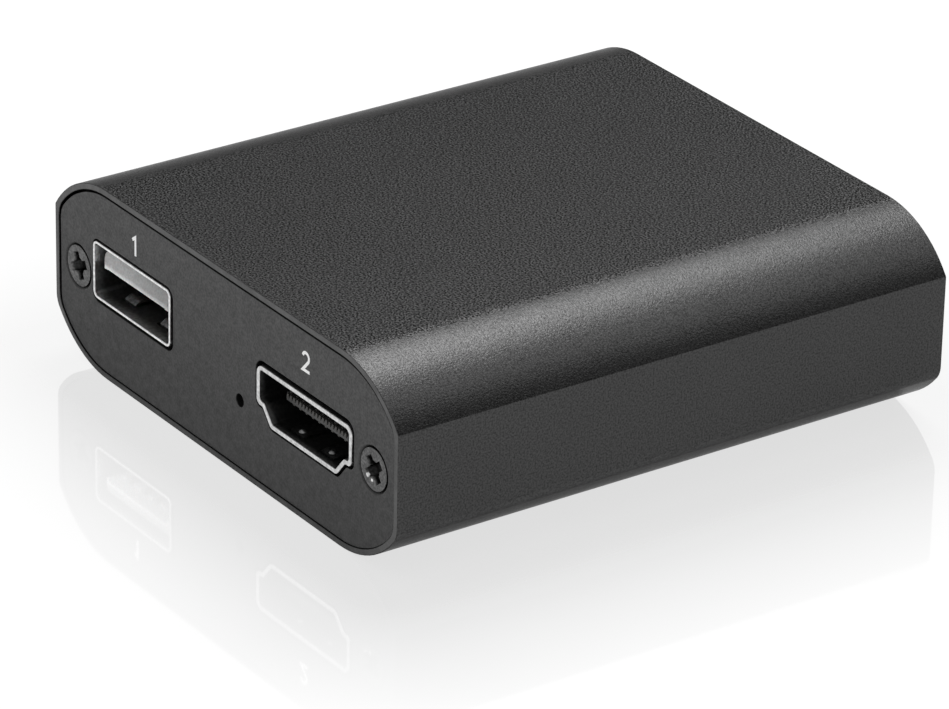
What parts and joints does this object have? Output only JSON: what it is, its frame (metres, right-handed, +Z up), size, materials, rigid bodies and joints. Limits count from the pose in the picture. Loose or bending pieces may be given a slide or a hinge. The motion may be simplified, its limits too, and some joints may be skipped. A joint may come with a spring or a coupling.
{
  "type": "video capture box",
  "caption": "Small extruded metal box with rounded shoulders, a USB socket and a video output on the front, a video input behind, and a circuit board inside.",
  "frame": {"origin": "under the middle of the case, on the surface that it stands on", "axes": "+Z up, -Y towards the front plate with the USB socket, +X to the right seen from the front"},
  "size_m": [0.0554, 0.0582, 0.0187],
  "materials": {
    "case": "dark grey bead-blasted anodising, fine sparkling grain",
    "plate": "dark grey matte anodising",
    "screw": "dark plated steel, turned face",
    "plated_shell": "bright tin or nickel plated sheet",
    "pale_insulator": "pale moulded connector plastic",
    "black_insulator": "black moulded connector plastic",
    "gold_contact": "gold flash on copper alloy",
    "board": "green solder mask over glass fibre laminate",
    "solder": "bright solder",
    "chip": "black epoxy moulding",
    "tinned_lead": "matt tin plate",
    "ferrite": "dark grey pressed ferrite",
    "crystal_can": "brushed metal can",
    "tantalum": "ochre moulding",
    "ceramic_chip": "tan ceramic",
    "resistor_chip": "black glaze on ceramic",
    "lamp": "milky clear lens, unlit"
  },
  "bodies": {
    "housing": {"case_sleeve": "case", "front_plate": "plate", "rear_plate": "plate", "front_plate_screws": "screw", "rear_plate_screws": "screw", "main_board": "board", "solder_joints": "solder", "usb_shell": "plated_shell", "usb_insulator": "pale_insulator", "usb_contact_tails": "gold_contact", "output_shell": "plated_shell", "output_insulator": "black_insulator", "output_contacts": "gold_contact", "input_shell": "plated_shell", "input_insulator": "black_insulator", "input_contacts": "gold_contact", "capture_chip": "chip", "splitter_chip": "chip", "memory_chip": "chip", "flash_chip": "chip", "regulators": "chip", "surge_arrays": "chip", "splitter_chip_leads": "tinned_lead", "flash_chip_leads": "tinned_lead", "regulator_leads": "tinned_lead", "power_inductors": "ferrite", "crystals": "crystal_can", "bulk_capacitors": "tantalum", "ceramic_capacitors": "ceramic_chip", "resistors": "resistor_chip", "indicator_led": "lamp"},
    "usb_contact_1": {"usb_contact_1": "gold_contact"},
    "usb_contact_2": {"usb_contact_2": "gold_contact"},
    "usb_contact_3": {"usb_contact_3": "gold_contact"},
    "usb_contact_4": {"usb_contact_4": "gold_contact"},
    "usb_top_springs": {"usb_top_spring_left": "plated_shell", "usb_top_spring_right": "plated_shell"},
    "usb_bottom_springs": {"usb_bottom_spring_left": "plated_shell", "usb_bottom_spring_right": "plated_shell"},
    "output_top_springs": {"output_top_spring_left": "plated_shell", "output_top_spring_right": "plated_shell"},
    "output_bottom_springs": {"output_bottom_spring_left": "plated_shell", "output_bottom_spring_right": "plated_shell"},
    "input_top_springs": {"input_top_spring_left": "plated_shell", "input_top_spring_right": "plated_shell"},
    "input_bottom_springs": {"input_bottom_spring_left": "plated_shell", "input_bottom_spring_right": "plated_shell"}
  },
  "joints": [
    {"name": "usb_contact_1_flex", "type": "hinge", "parent": "housing", "child": "usb_contact_1", "pos_m": [-0.01825, -0.01895, 0.01099], "axis": [-1, 0, 0], "range_deg": [0, 3], "stiffness_Nm_per_rad": 0.08, "springref_deg": -1.15},
    {"name": "usb_contact_2_flex", "type": "hinge", "parent": "housing", "child": "usb_contact_2", "pos_m": [-0.01575, -0.01895, 0.01099], "axis": [-1, 0, 0], "range_deg": [0, 3], "stiffness_Nm_per_rad": 0.08, "springref_deg": -1.15},
    {"name": "usb_contact_3_flex", "type": "hinge", "parent": "housing", "child": "usb_contact_3", "pos_m": [-0.01375, -0.01895, 0.01099], "axis": [-1, 0, 0], "range_deg": [0, 3], "stiffness_Nm_per_rad": 0.08, "springref_deg": -1.15},
    {"name": "usb_contact_4_flex", "type": "hinge", "parent": "housing", "child": "usb_contact_4", "pos_m": [-0.01125, -0.01895, 0.01099], "axis": [-1, 0, 0], "range_deg": [0, 3], "stiffness_Nm_per_rad": 0.08, "springref_deg": -1.15},
    {"name": "usb_top_flex", "type": "hinge", "parent": "housing", "child": "usb_top_springs", "pos_m": [-0.01475, -0.02195, 0.01294], "axis": [-1, 0, 0], "range_deg": [0, 5], "stiffness_Nm_per_rad": 0.12, "springref_deg": -1.15},
    {"name": "usb_bottom_flex", "type": "hinge", "parent": "housing", "child": "usb_bottom_springs", "pos_m": [-0.01475, -0.02195, 0.00758], "axis": [1, 0, 0], "range_deg": [0, 5], "stiffness_Nm_per_rad": 0.12, "springref_deg": -1.15},
    {"name": "output_top_flex", "type": "hinge", "parent": "housing", "child": "output_top_springs", "pos_m": [0.01325, -0.02295, 0.01163], "axis": [-1, 0, 0], "range_deg": [0, 3.6], "stiffness_Nm_per_rad": 0.12, "springref_deg": -1.15},
    {"name": "output_bottom_flex", "type": "hinge", "parent": "housing", "child": "output_bottom_springs", "pos_m": [0.01325, -0.02295, 0.00683], "axis": [1, 0, 0], "range_deg": [0, 3.6], "stiffness_Nm_per_rad": 0.12, "springref_deg": -1.15},
    {"name": "input_top_flex", "type": "hinge", "parent": "housing", "child": "input_top_springs", "pos_m": [0, 0.02295, 0.01163], "axis": [1, 0, 0], "range_deg": [0, 3.6], "stiffness_Nm_per_rad": 0.12, "springref_deg": -1.15},
    {"name": "input_bottom_flex", "type": "hinge", "parent": "housing", "child": "input_bottom_springs", "pos_m": [0, 0.02295, 0.00683], "axis": [-1, 0, 0], "range_deg": [0, 3.6], "stiffness_Nm_per_rad": 0.12, "springref_deg": -1.15}
  ]
}
